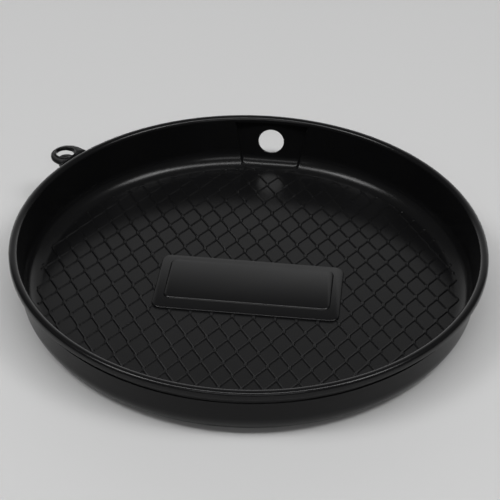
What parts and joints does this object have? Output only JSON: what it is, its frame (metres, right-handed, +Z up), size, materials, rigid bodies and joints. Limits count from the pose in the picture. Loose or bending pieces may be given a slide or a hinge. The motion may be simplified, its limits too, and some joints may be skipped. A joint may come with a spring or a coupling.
{
  "type": "drain pan",
  "caption": "Round shallow plastic drain pan with a diamond-ribbed floor, rolled rim, flat side panel with an outlet hole, and a hang tab.",
  "frame": {"origin": "centre of the flat underside, on the surface that the pan stands on", "axes": "+Z up out of the pan's mouth, +Y towards the drain panel and its outlet hole, +X to the right when facing the outlet"},
  "size_m": [0.572, 0.572, 0.071],
  "materials": {
    "pan_shell": "moulded black plastic, semi-gloss with a fine grain",
    "pan_wall": "moulded black plastic, semi-gloss, smooth",
    "pan_rim": "moulded black plastic, glossier on the rolled edges",
    "pan_lattice": "moulded black plastic, low raised ribs",
    "nameplate": "moulded black plastic, plain raised plate with no text"
  },
  "bodies": {
    "root": {"floor_plate": "pan_shell", "base_corner_ring": "pan_shell", "drain_panel_foot": "pan_shell", "hang_tab_lug": "pan_shell", "side_wall": "pan_wall", "wall_shoulder_bead": "pan_wall", "drain_panel": "pan_wall", "drain_cheek_left": "pan_wall", "drain_cheek_right": "pan_wall", "rim_inner_roll": "pan_rim", "rim_outer_lip": "pan_rim", "hang_tab": "pan_rim", "hang_tab_bead": "pan_rim", "lattice_ribs": "pan_lattice", "nameplate_base": "nameplate", "nameplate_field": "nameplate"}
  },
  "joints": []
}
